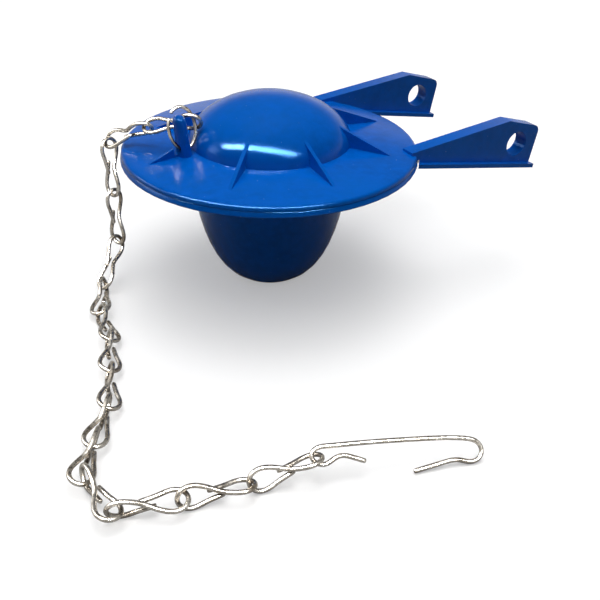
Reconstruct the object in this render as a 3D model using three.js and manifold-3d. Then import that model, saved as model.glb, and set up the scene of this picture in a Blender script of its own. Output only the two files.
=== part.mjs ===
// A toilet flapper with its lift chain: a hollow float moulded in two shells, a wire ring in its lug,
// a single jack chain and an open safety-pin clip. Millimetres, +Z up.
// The origin is the middle of the float's flat bottom, which stands on Z = 0. +X points to the ears.

import * as THREE from 'three';
import { mergeVertices } from 'three/addons/utils/BufferGeometryUtils.js';
import Module from 'manifold-3d';

const wasm = await Module();
wasm.setup();

// Float and seal flange, turned about Z
const turnSteps = 60;
const floatDepth = 34;
const lowerRimThick = 1.35;
const upperRimThick = 1.35;
const rimRadius = 38;
const rimRound = 0.9;
const lowerRimLip = 0.3;
const lowerRimRound = 0.3;
const seamChamfer = 0.15;
const shellWall = 2;
const flangeWidth = 16.9;
const flangeRise = 1.3;
const domeHeight = 11.3;
const bowlLip = 0.3;
const bowlBottomRadius = 9.6;
const bowlShoulder = 1.1;
const bowlTaper = 3.9;

// Webs from the dome's shoulder down to the flange
const webCount = 8;
const webTipInset = 6.4;
const longWebTipInset = 4.8;
const webThick = 0.9;
const webTopHeight = 5.2;
const webSink = 0.6;

// Ears that reach to the pivot pegs
const earSpacing = 44.8;
const earThick = 4;
const earDroop = 10.5;
const earRootInset = 11;
const earRootRise = 0.9;
const earRootHeight = 2.6;
const earLength = 42.4;
const earHeight = 11.6;
const earEndHeight = 10.7;
const earFlatLength = 11.8;
const earCornerRound = 1.9;
const earFootThick = 1.1;
const earFootLip = 1.5;
const earFootOverhang = 0.6;
const earFootSink = 0.2;
const earHoleRadius = 3.4;
const earHoleFromEnd = 6.9;
const earHoleHeight = 5.4;
const rimClearance = 0.3;

// Lug for the chain's ring
const lugGap = 2.6;
const lugHeight = 10.2;
const lugLean = 6;
const lugBaseHalf = 1.8;
const lugTopHalf = 1.5;
const lugBreadth = 1.35;
const eyeHeight = 2.2;
const eyeRadius = 1.6;

// Wire ring through the lug's eye
const wireSides = 8;
const ringWire = 0.85;
const ringHeight = 10.2;
const ringWidth = 6.9;
const ringShift = 0.5;
const ringLean = 15;
const ringOpening = 16;
const ringOpeningAt = 140;
const ringSteps = 36;

// Single jack chain, laid link by link
const chainWire = 1.05;
const linkLength = 16.4;
const loopWidth = 5.9;
const linkSteps = 28;
const linkLap = 1.6;
const hookPlay = 0.3;
const chainInward = 3.7;
const chainAside = 1.3;
const chainAbove = 5.2;

// Safety-pin clip on the last link
const clipWire = 1.05;
const clipLength = 36.8;
const clipWidth = 6.1;
const clipNarrowing = 0.7;
const catchLength = 11.2;
const armLength = 14.7;
const clipSteps = 46;
const clipHeading = -20;
const clipClimb = -5.5;
const clipRoll = 50;
const clipSlack = 1.2;

const plastic = { color: 0x0a4fae, roughness: 0.38, metalness: 0 };
const steel = { color: 0xb9b4ab, roughness: 0.22, metalness: 1 };

const seamZ = floatDepth + lowerRimThick;
const rimTopZ = seamZ + upperRimThick;
const domeBaseZ = rimTopZ + flangeRise;
const lowerRimRadius = rimRadius + lowerRimLip;
const domeRadius = rimRadius - flangeWidth;
const bowlTopRadius = domeRadius + bowlLip;
const lugRadius = domeRadius + lugGap;
const webRootRadius = domeRadius - shellWall * 1.5;
const earRootX = rimRadius - earRootInset;
const group = new THREE.Group();

// Helpers
function degrees(angle) {
  return THREE.MathUtils.degToRad(angle);
}

function addPiece(name, geometry, look, parent = group) {
  const mesh = new THREE.Mesh(geometry, new THREE.MeshStandardMaterial(look));
  mesh.name = name;
  parent.add(mesh);
  return mesh;
}

function toSolid(geometry) {
  const bare = geometry.clone();
  bare.deleteAttribute('normal');
  bare.deleteAttribute('uv');
  const merged = mergeVertices(bare, 1e-4);
  return new wasm.Manifold(
    new wasm.Mesh({
      numProp: 3,
      vertProperties: new Float32Array(merged.attributes.position.array),
      triVerts: new Uint32Array(merged.index.array),
    })
  );
}

function toGeometry(solid) {
  const mesh = solid.getMesh();
  const geometry = new THREE.BufferGeometry();
  geometry.setAttribute('position', new THREE.BufferAttribute(mesh.vertProperties, 3));
  geometry.setIndex(new THREE.BufferAttribute(mesh.triVerts, 1));
  geometry.computeVertexNormals();
  return geometry;
}

// A profile of [radius, height] points turned about Z
function turned(points, steps = turnSteps) {
  const profile = points.map(([radius, height]) => new THREE.Vector2(Math.max(radius, 0), height));
  return new THREE.LatheGeometry(profile, steps).rotateX(Math.PI / 2);
}

// An outline of [x, z] points, as a plate of the given thickness with its middle on Y = 0
function plate(points, thickness) {
  const shape = new THREE.Shape(points.map(([x, z]) => new THREE.Vector2(x, z)));
  const solid = new THREE.ExtrudeGeometry(shape, { depth: thickness, bevelEnabled: false });
  return solid.translate(0, 0, -thickness / 2).rotateX(Math.PI / 2);
}

// Points of a cubic curve in a profile
function curved(start, control1, control2, end, steps) {
  const curve = new THREE.CubicBezierCurve(
    new THREE.Vector2(...start),
    new THREE.Vector2(...control1),
    new THREE.Vector2(...control2),
    new THREE.Vector2(...end)
  );
  return curve.getPoints(steps).map((point) => [point.x, point.y]);
}

// Points on an arc in a profile or an outline
function arc(centreX, centreY, radius, from, to, steps) {
  const points = [];
  for (let i = 0; i <= steps; i += 1) {
    const angle = degrees(from + ((to - from) * i) / steps);
    points.push([centreX + radius * Math.cos(angle), centreY + radius * Math.sin(angle)]);
  }
  return points;
}

// Round wire along a smooth path
function wire(path, diameter, steps) {
  const section = new THREE.Shape();
  for (let i = 0; i < wireSides; i += 1) {
    const angle = ((i + 0.5) / wireSides) * Math.PI * 2;
    const x = (diameter / 2) * Math.cos(angle);
    const y = (diameter / 2) * Math.sin(angle);
    if (i === 0) {
      section.moveTo(x, y);
    } else {
      section.lineTo(x, y);
    }
  }
  section.closePath();
  return new THREE.ExtrudeGeometry(section, { steps, extrudePath: path, bevelEnabled: false });
}

// Dome and bowl: outer curves and the same curves one wall further in
function domeCurve(inset) {
  const radius = domeRadius - inset;
  const top = domeBaseZ + domeHeight - inset;
  const foot = inset > 0 ? seamZ : domeBaseZ;
  const steps = inset > 0 ? 6 : 10;
  return curved([radius, foot], [radius, foot + domeHeight * 0.4], [radius * 0.6, top], [0, top], steps);
}

function bowlCurve(inset) {
  const top = bowlTopRadius - inset;
  const bottom = bowlBottomRadius - inset;
  const height = inset > 0 ? seamZ : floatDepth;
  const bulge1 = [top - bowlShoulder, height * 0.58 + inset * 0.4];
  const bulge2 = [top - bowlTaper, height * 0.13 + inset * 0.9];
  const steps = inset > 0 ? 6 : 10;
  return curved([top, height], bulge1, bulge2, [bottom, inset], steps);
}

// Height of the flange's top at a radius, on its shallow cone
function flangeTopAt(radius) {
  const share = (rimRadius - rimRound - radius) / (rimRadius - rimRound - domeRadius);
  return rimTopZ + flangeRise * share;
}

// Lower shell: seal disc and bowl in one moulding, open above
function makeLowerShell() {
  const outer = bowlCurve(0).reverse();
  const inner = bowlCurve(shellWall);
  return turned([
    [0, 0],
    ...outer,
    ...arc(lowerRimRadius - lowerRimRound, floatDepth + lowerRimRound, lowerRimRound, -90, 0, 2),
    [rimRadius, seamZ - seamChamfer],
    [rimRadius - seamChamfer, seamZ],
    ...inner,
    [0, shellWall],
  ]);
}

// Upper shell: flange and dome
function makeDomedFlange() {
  return turned([
    [0, seamZ],
    [rimRadius - seamChamfer, seamZ],
    [rimRadius, seamZ + seamChamfer],
    ...arc(rimRadius - rimRound, rimTopZ - rimRound, rimRound, 0, 90, 3),
    ...domeCurve(0),
  ]);
}

function makeDomeHollow() {
  const below = seamZ - shellWall;
  return turned([[0, below], [domeRadius - shellWall, below], ...domeCurve(shellWall)]);
}

function makeWeb(innerRadius, tipRadius) {
  const tipZ = flangeTopAt(tipRadius);
  const slope = (domeBaseZ + webTopHeight - tipZ) / (tipRadius - webRootRadius);
  const outline = [
    [innerRadius, domeBaseZ - webSink],
    [tipRadius - webSink, tipZ - webSink],
    [tipRadius, tipZ],
    [innerRadius, tipZ + slope * (tipRadius - innerRadius)],
  ];
  return toSolid(plate(outline, webThick));
}

// Ear plate with its rounded corner, hole and foot, drooping from the rim
function makeEar(side) {
  const cornerX = earLength - earCornerRound;
  const cornerZ = earEndHeight - earCornerRound;
  const outline = [
    [0, 0],
    [earLength, 0],
    ...arc(cornerX, cornerZ, earCornerRound, 0, 85, 4),
    [earLength - earFlatLength, earHeight],
    [0, earRootHeight],
  ];
  const footWidth = earThick + earFootLip * 2;
  const foot = new THREE.BoxGeometry(earLength + earFootOverhang, footWidth, earFootThick);
  foot.translate((earLength + earFootOverhang) / 2, 0, -earFootThick / 2 + earFootSink);
  const hole = new THREE.CylinderGeometry(earHoleRadius, earHoleRadius, earThick * 2, 32);
  hole.translate(earLength - earHoleFromEnd, 0, 0).translate(0, 0, earHoleHeight);
  let ear = toSolid(plate(outline, earThick)).add(toSolid(foot)).subtract(toSolid(hole));
  ear = ear.rotate([0, earDroop, 0]);
  return ear.translate([earRootX, (side * earSpacing) / 2, floatDepth + earRootRise]);
}

// Upright lug, leaning outwards, with an eye low down
function makeLug() {
  const finger = turned(
    [
      [0, -webSink * 2],
      [lugBaseHalf, -webSink * 2],
      [lugBaseHalf, 0],
      ...arc(0, lugHeight - lugTopHalf, lugTopHalf, 5, 85, 4),
      [0, lugHeight],
    ],
    24
  );
  finger.scale(1, lugBreadth, 1);
  return toSolid(finger);
}

function makeEye() {
  const hole = new THREE.CylinderGeometry(eyeRadius, eyeRadius, lugBaseHalf * 3, 20);
  hole.rotateZ(Math.PI / 2).translate(0, 0, eyeHeight);
  return toSolid(hole);
}

function placeLug(solid) {
  return solid.rotate([0, -lugLean, 0]).translate([-lugRadius, 0, flangeTopAt(lugRadius)]);
}

function makeUpperShell() {
  let shell = toSolid(makeDomedFlange());
  for (let i = 0; i < webCount; i += 1) {
    const innerRadius = i * 2 === webCount ? lugRadius : webRootRadius;
    const tipRadius = rimRadius - (i % (webCount / 2) === 0 ? longWebTipInset : webTipInset);
    shell = shell.add(makeWeb(innerRadius, tipRadius).rotate([0, 0, (360 / webCount) * i]));
  }
  const cutRadius = lowerRimRadius + rimClearance;
  const rimCut = new THREE.CylinderGeometry(cutRadius, cutRadius, floatDepth, turnSteps);
  rimCut.rotateX(Math.PI / 2).translate(0, 0, seamZ - floatDepth / 2);
  const ears = makeEar(-1).add(makeEar(1)).subtract(toSolid(rimCut));
  shell = shell.add(ears).add(placeLug(makeLug()));
  shell = shell.subtract(placeLug(makeEye())).subtract(toSolid(makeDomeHollow()));
  return toGeometry(shell);
}

addPiece('upper_shell', makeUpperShell(), plastic);
addPiece('lower_shell', makeLowerShell(), plastic);

// Ring: an oval loop of wire standing in the lug's eye, open at one place
class RingPath extends THREE.Curve {
  getPoint(share, target = new THREE.Vector3()) {
    const angle = degrees(ringOpeningAt + ringOpening / 2 + share * (360 - ringOpening));
    const x = (ringWidth / 2) * Math.cos(angle);
    return target.set(x, 0, (ringHeight / 2) * (1 + Math.sin(angle)));
  }
}

const lugLeanAngle = degrees(lugLean);
const eyeX = -(lugRadius + eyeHeight * Math.sin(lugLeanAngle));
const eyeZ = flangeTopAt(lugRadius) + eyeHeight * Math.cos(lugLeanAngle);
const ring = new THREE.Group();
ring.position.set(eyeX + ringShift, 0, eyeZ - eyeRadius + ringWire / 2 + hookPlay);
ring.rotation.x = degrees(-ringLean);
group.add(ring);
addPiece('ring', wire(new RingPath(), ringWire, ringSteps), steel, ring);

// One link: two teardrop loops at right angles, bent from one wire whose cut ends pass the middle
function makeLinkPath() {
  const length = linkLength - chainWire;
  const half = (loopWidth - chainWire) / 2;
  const middle = length / 2;
  const wide = half * 1.15;
  const lap = chainWire * 0.8;
  const first = [
    [middle + linkLap, -lap, -0.05],
    [middle - linkLap, -half * 0.62, 0],
    [wide, -half, 0],
    [half * 0.28, -half * 0.66, 0],
    [0, 0, 0],
    [half * 0.28, half * 0.66, 0],
    [wide, half, 0],
    [middle - linkLap, half * 0.55, 0.15],
    [middle, lap * 0.6, lap * 0.6],
    [middle + linkLap, 0.15, half * 0.55],
    [length - wide, 0, half],
    [length - half * 0.28, 0, half * 0.66],
    [length, 0, 0],
    [length - half * 0.28, 0, -half * 0.66],
    [length - wide, 0, -half],
    [middle + linkLap, 0, -half * 0.62],
    [middle - linkLap, 0.05, -lap],
  ];
  const points = first.map(([x, y, z]) => new THREE.Vector3(x - (chainWire + hookPlay) / 2, y, z));
  return new THREE.CatmullRomCurve3(points, false, 'centripetal');
}

// The lay of the chain from the ring down to the ground, one row a link: heading about Z, climb,
// roll about the link's own axis, and the slack at its start, in degrees and millimetres
const chainStart = [eyeX + chainInward, chainAside, eyeZ + chainAbove];
const firstLying = 5;
const chainLay = [
  [139, -11, 62, 1.2],
  [129, -25, 46, 0.7],
  [68, -100, 136, 0.6],
  [-111, -84, -46, 0.6],
  [-135, -39, -66, 0.8],
  [-113, -1, 104, 1.2],
  [-97, 1, 63, 1],
  [-108, 0, 69, 2.4],
  [-109, 1, 68, 0.6],
  [-122, -1, 79, 2.8],
  [-122, 1, 73, 3.5],
  [-85, 0, 81, 3.1],
  [-16, 0, 102, 1.8],
  [-10, -2, 74, 1.1],
  [-9, 10, 69, 0.1],
];

const pitch = linkLength - chainWire - (chainWire + hookPlay);
const link = wire(makeLinkPath(), chainWire, linkSteps);
const joint = new THREE.Vector3(...chainStart);

const behind = new THREE.Vector3();

function rest(holder) {
  holder.position.z -= new THREE.Box3().setFromObject(holder, true).min.z;
}

function layLink(index, heading, climb, roll, slack) {
  const direction = new THREE.Vector3(1, 0, 0)
    .applyAxisAngle(new THREE.Vector3(0, 1, 0), degrees(-climb))
    .applyAxisAngle(new THREE.Vector3(0, 0, 1), degrees(heading));
  const holder = new THREE.Group();
  holder.position.copy(joint).addScaledVector(index === 0 ? direction : behind, -slack);
  holder.rotation.set(degrees(roll), degrees(-climb), degrees(heading), 'ZYX');
  addPiece(`chain_link_${String(index + 1).padStart(2, '0')}`, link.clone(), steel, holder);
  if (index >= firstLying) {
    rest(holder);
  }
  group.add(holder);
  joint.copy(holder.position).addScaledVector(direction, pitch);
  behind.copy(direction);
}

chainLay.forEach(([heading, climb, roll, slack], index) => layLink(index, heading, climb, roll, slack));

// Clip: an open wire pin with a wavy catch at one end and a free arm at the other
function makeClipPath() {
  const half = (clipWidth - clipWire) / 2;
  const narrow = half - clipNarrowing;
  const length = clipLength - clipWire;
  const points = [
    [catchLength, -narrow * 0.75],
    [catchLength * 0.77, -narrow * 0.3],
    [catchLength * 0.55, 0],
    [catchLength * 0.41, -narrow * 0.45],
    [catchLength * 0.27, -narrow],
    [catchLength * 0.11, -narrow * 0.85],
    [0, 0],
    [catchLength * 0.11, narrow * 0.85],
    [catchLength * 0.36, narrow],
    [length / 2, half],
    [length - armLength * 0.27, half],
    [length - armLength * 0.07, half * 0.72],
    [length, 0],
    [length - armLength * 0.07, -half * 0.75],
    [length - armLength * 0.2, -half * 0.88],
    [length - armLength * 0.38, -half * 0.65],
    [length - armLength * 0.68, -half],
    [length - armLength, -half * 1.46],
  ];
  const path = points.map(([x, y]) => new THREE.Vector3(x - (clipWire + hookPlay) / 2, y, 0));
  return new THREE.CatmullRomCurve3(path, false, 'centripetal');
}

const clip = new THREE.Group();
clip.rotation.set(degrees(clipRoll), degrees(-clipClimb), degrees(clipHeading), 'ZYX');
const alongClip = new THREE.Vector3(1, 0, 0).applyEuler(clip.rotation);
clip.position.copy(joint).addScaledVector(alongClip, -clipSlack);
addPiece('clip', wire(makeClipPath(), clipWire, clipSteps), steel, clip);
rest(clip);
group.add(clip);

export default group;
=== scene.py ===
import math

import bmesh
import bpy
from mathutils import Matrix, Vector


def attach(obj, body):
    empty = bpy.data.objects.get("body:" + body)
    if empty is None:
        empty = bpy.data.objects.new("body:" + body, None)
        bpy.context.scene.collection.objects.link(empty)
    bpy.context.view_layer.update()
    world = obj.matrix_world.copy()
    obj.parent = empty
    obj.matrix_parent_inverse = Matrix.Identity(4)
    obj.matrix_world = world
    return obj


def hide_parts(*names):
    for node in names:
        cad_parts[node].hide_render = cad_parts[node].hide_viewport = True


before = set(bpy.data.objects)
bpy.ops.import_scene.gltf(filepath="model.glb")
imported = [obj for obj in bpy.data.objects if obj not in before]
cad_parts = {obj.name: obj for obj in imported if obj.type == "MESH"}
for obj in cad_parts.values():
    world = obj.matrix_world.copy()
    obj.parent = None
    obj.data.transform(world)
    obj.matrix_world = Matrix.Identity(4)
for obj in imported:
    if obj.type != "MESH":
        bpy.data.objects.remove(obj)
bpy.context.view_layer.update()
scene = bpy.context.scene

# Camera, fitted to the rims in the photograph: metres and degrees of the row frame
CAMERA_PLACE = (-0.09213, -0.17328, 0.11432)
CAMERA_TURN = (57.295, -1.239, -29.771)
FOCAL_LENGTH_PX = 800
PHOTO_WIDTH_PX = 600
SENSOR_WIDTH_MM = 36

# Colours, linear
BLUE_DEEP = (0.0, 0.08, 0.39, 1)
BLUE_MAIN = (0.0, 0.098, 0.45, 1)
BLUE_MOTTLE = (0.0, 0.1, 0.5, 1)
BLUE_SPECK = (0.22, 0.38, 0.62, 1)
BLUE_SHEEN = (0.12, 0.42, 1, 1)
STEEL_BRIGHT = (0.55, 0.52, 0.47, 1)
STEEL_TARNISH = (0.29, 0.25, 0.2, 1)
STEEL_PAINTED_SHADE = (0.09, 0.065, 0.045, 1)

SHELLS = ["upper_shell", "lower_shell"]
WIRES = ["ring"] + ["chain_link_%02d" % i for i in range(1, 16)] + ["clip"]

# Edges of the shells that turn by more than this stay crisp; a wire has none
SHELL_SHARP_DEGREES = 34
WIRE_SHARP_DEGREES = 180

# What rounding takes off the radius of a wire with eight flat sides, in metres
ROUNDING_LOSS = 0.00004
ROUNDING_LEVELS = 2

FLOOR_SIZE = 6
LAMP_AIM = (0, 0, 0.03)


def add_camera():
    data = bpy.data.cameras.new("camera")
    data.sensor_width = SENSOR_WIDTH_MM
    data.lens = SENSOR_WIDTH_MM * FOCAL_LENGTH_PX / PHOTO_WIDTH_PX
    data.clip_start = 0.005
    data.clip_end = 20
    camera = bpy.data.objects.new("camera", data)
    camera.location = CAMERA_PLACE
    camera.rotation_euler = [math.radians(angle) for angle in CAMERA_TURN]
    scene.collection.objects.link(camera)
    scene.camera = camera


# Node helpers
def node(tree, kind, **values):
    made = tree.nodes.new(kind)
    for name, value in values.items():
        setattr(made, name, value)
    return made


def put(made, **values):
    for name, value in values.items():
        made.inputs[name.replace("_", " ")].default_value = value
    return made


def mix_colour(tree, share, first, second):
    mix = node(tree, "ShaderNodeMix", data_type="RGBA")
    tree.links.new(share, mix.inputs[0])
    for socket, value in ((mix.inputs[6], first), (mix.inputs[7], second)):
        if isinstance(value, tuple):
            socket.default_value = value
        else:
            tree.links.new(value, socket)
    return mix.outputs[2]


def noise(tree, coordinates, scale, detail=4.0, roughness=0.5):
    made = node(tree, "ShaderNodeTexNoise")
    put(made, Scale=scale, Detail=detail, Roughness=roughness)
    tree.links.new(coordinates, made.inputs["Vector"])
    return made.outputs["Fac"]


def spread(tree, value, low, high, to_low, to_high):
    made = node(tree, "ShaderNodeMapRange")
    tree.links.new(value, made.inputs["Value"])
    made.inputs["From Min"].default_value = low
    made.inputs["From Max"].default_value = high
    made.inputs["To Min"].default_value = to_low
    made.inputs["To Max"].default_value = to_high
    return made.outputs["Result"]


# Blue moulded plastic: soft gloss, faint colour drift, fine skin texture and a few pale specks
def blue_plastic():
    material = bpy.data.materials.new("blue_plastic")
    material.use_nodes = True
    tree = material.node_tree
    shader = tree.nodes["Principled BSDF"]
    where = node(tree, "ShaderNodeTexCoord").outputs["Object"]
    drift = spread(tree, noise(tree, where, 45, 3), 0.35, 0.65, 0, 1)
    base = mix_colour(tree, drift, BLUE_DEEP, BLUE_MAIN)
    mottle = spread(tree, noise(tree, where, 420, 5, 0.6), 0.35, 0.7, 0, 1)
    base = mix_colour(tree, mottle, base, BLUE_MOTTLE)
    specks = spread(tree, noise(tree, where, 1500, 2, 0.5), 0.74, 0.8, 0, 0.5)
    base = mix_colour(tree, specks, base, BLUE_SPECK)
    tree.links.new(base, shader.inputs["Base Color"])
    rough = spread(tree, noise(tree, where, 160, 5, 0.65), 0.3, 0.7, 0.07, 0.16)
    tree.links.new(rough, shader.inputs["Roughness"])
    shader.inputs["IOR"].default_value = 1.5
    shader.inputs["Specular IOR Level"].default_value = 0.3
    shader.inputs["Specular Tint"].default_value = BLUE_SHEEN
    skin = node(tree, "ShaderNodeBump")
    put(skin, Strength=0.3, Distance=0.0001)
    tree.links.new(noise(tree, where, 2200, 4, 0.65), skin.inputs["Height"])
    waves = node(tree, "ShaderNodeBump")
    put(waves, Strength=0.12, Distance=0.0003)
    tree.links.new(noise(tree, where, 120, 2, 0.5), waves.inputs["Height"])
    tree.links.new(skin.outputs["Normal"], waves.inputs["Normal"])
    tree.links.new(waves.outputs["Normal"], shader.inputs["Normal"])
    return material


# Bright plated wire: a little warm, darker in patches, with painted shade where pieces lie
# close together
def steel_wire():
    material = bpy.data.materials.new("steel_wire")
    material.use_nodes = True
    tree = material.node_tree
    shader = tree.nodes["Principled BSDF"]
    shader.inputs["Metallic"].default_value = 1
    where = node(tree, "ShaderNodeTexCoord").outputs["Object"]
    patches = spread(tree, noise(tree, where, 260, 4, 0.6), 0.42, 0.66, 0, 1)
    base = mix_colour(tree, patches, STEEL_BRIGHT, STEEL_TARNISH)
    # Painted shade: the base colour turns dark where ambient occlusion finds other wire close
    # by
    nearness = node(tree, "ShaderNodeAmbientOcclusion", samples=8)
    put(nearness, Distance=0.002)
    painted_shade_share = spread(tree, nearness.outputs["AO"], 0.35, 0.95, 1, 0)
    base = mix_colour(tree, painted_shade_share, base, STEEL_PAINTED_SHADE)
    tree.links.new(base, shader.inputs["Base Color"])
    rough = spread(tree, noise(tree, where, 900, 4, 0.6), 0.3, 0.7, 0.2, 0.36)
    tree.links.new(rough, shader.inputs["Roughness"])
    bump = node(tree, "ShaderNodeBump")
    put(bump, Strength=0.2, Distance=0.00006)
    tree.links.new(noise(tree, where, 2200, 3, 0.6), bump.inputs["Height"])
    tree.links.new(bump.outputs["Normal"], shader.inputs["Normal"])
    return material


# A smooth copy of a CAD node's mesh, of its own
def smooth_copy(name, sharp_degrees):
    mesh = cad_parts[name].data.copy()
    mesh.name = name + "_look"
    mesh.materials.clear()
    shape = bmesh.new()
    shape.from_mesh(mesh)
    bmesh.ops.remove_doubles(shape, verts=shape.verts, dist=0.000002)
    bmesh.ops.join_triangles(
        shape,
        faces=shape.faces,
        angle_face_threshold=math.radians(40),
        angle_shape_threshold=math.radians(40),
    )
    for face in shape.faces:
        face.smooth = True
    limit = math.radians(sharp_degrees)
    for edge in shape.edges:
        edge.smooth = len(edge.link_faces) == 2 and edge.calc_face_angle(math.pi) < limit
    shape.to_mesh(mesh)
    shape.free()
    piece = bpy.data.objects.new(name + "_look", mesh)
    scene.collection.objects.link(piece)
    return piece


def add_shells(material):
    for name in SHELLS:
        piece = smooth_copy(name, SHELL_SHARP_DEGREES)
        piece.data.materials.append(material)
        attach(piece, "root")
        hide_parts(name)


# Wires: the CAD meshes with their flat sides rounded, at the size they have in the CAD
def add_wires(material):
    for name in WIRES:
        piece = smooth_copy(name, WIRE_SHARP_DEGREES)
        for vert in piece.data.vertices:
            vert.co += vert.normal * ROUNDING_LOSS
        rounded = piece.modifiers.new("rounded", "SUBSURF")
        rounded.levels = ROUNDING_LEVELS
        shape = piece.evaluated_get(bpy.context.evaluated_depsgraph_get())
        piece.data = bpy.data.meshes.new_from_object(shape)
        piece.modifiers.clear()
        piece.data.materials.append(material)
        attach(piece, "root")
        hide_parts(name)


# Floor: white to the camera, duller to the light that it throws back, with the object's shadow
def add_floor():
    bpy.ops.mesh.primitive_plane_add(size=FLOOR_SIZE, location=(0, 0, 0))
    floor = bpy.context.object
    floor.name = "floor"
    material = bpy.data.materials.new("floor")
    material.use_nodes = True
    tree = material.node_tree
    shader = tree.nodes["Principled BSDF"]
    shader.inputs["Roughness"].default_value = 0.9
    shader.inputs["Specular IOR Level"].default_value = 0.1
    path = node(tree, "ShaderNodeLightPath")
    to_light, to_gloss, to_camera = [(grey, grey, grey, 1) for grey in (0.12, 0.4, 0.6)]
    bounced = mix_colour(tree, path.outputs["Is Glossy Ray"], to_light, to_gloss)
    colour = mix_colour(tree, path.outputs["Is Camera Ray"], bounced, to_camera)
    tree.links.new(colour, shader.inputs["Base Color"])
    shader.inputs["Emission Color"].default_value = (0.38, 0.38, 0.38, 1)
    tree.links.new(path.outputs["Is Camera Ray"], shader.inputs["Emission Strength"])
    floor.data.materials.append(material)


# World: white to the camera, light from above, and a pale horizon for the gloss to mirror
def add_world():
    world = bpy.data.worlds.new("studio")
    world.use_nodes = True
    scene.world = world
    tree = world.node_tree
    background = tree.nodes["Background"]
    path = node(tree, "ShaderNodeLightPath")
    where = node(tree, "ShaderNodeTexCoord").outputs["Generated"]
    split = node(tree, "ShaderNodeSeparateXYZ")
    tree.links.new(where, split.inputs["Vector"])
    high = spread(tree, split.outputs["Z"], 0.6, 0.95, 0, 1)
    fill = mix_colour(tree, high, (0.04, 0.04, 0.045, 1), (2.3, 2.3, 2.3, 1))
    low = spread(tree, split.outputs["Z"], 0.0, 0.35, 0, 1)
    mirrored = mix_colour(tree, low, (0.8, 0.78, 0.74, 1), (0.1, 0.095, 0.085, 1))
    sky = mix_colour(tree, path.outputs["Is Glossy Ray"], fill, mirrored)
    seen = mix_colour(tree, path.outputs["Is Camera Ray"], sky, (1, 1, 1, 1))
    tree.links.new(seen, background.inputs["Color"])
    background.inputs["Strength"].default_value = 1.0


# Area lamp aimed at the float; azimuth is 0 on -Y and grows towards +X, in degrees
def add_lamp(name, azimuth, elevation, distance, size, power, diffuse=True, glossy=True):
    data = bpy.data.lights.new(name, "AREA")
    data.shape = "RECTANGLE"
    data.size, data.size_y = size
    data.energy = power
    lamp = bpy.data.objects.new(name, data)
    turn = math.radians(azimuth)
    lift = math.radians(elevation)
    flat = math.cos(lift)
    away = Vector((math.sin(turn) * flat, -math.cos(turn) * flat, math.sin(lift)))
    lamp.location = Vector(LAMP_AIM) + away * distance
    lamp.rotation_euler = (-away).to_track_quat("-Z", "Y").to_euler()
    lamp.visible_diffuse = diffuse
    lamp.visible_glossy = glossy
    scene.collection.objects.link(lamp)


add_camera()
add_shells(blue_plastic())
add_wires(steel_wire())
add_floor()
add_world()
add_lamp("strip", -48, 60, 0.7, (1.3, 0.035), 60, diffuse=False)
add_lamp("top", 150, 72, 0.8, (0.5, 0.5), 2.2, glossy=False)
add_lamp("back_left", -125, 20, 0.8, (0.5, 0.25), 2, diffuse=False)

scene.view_settings.view_transform = "Standard"
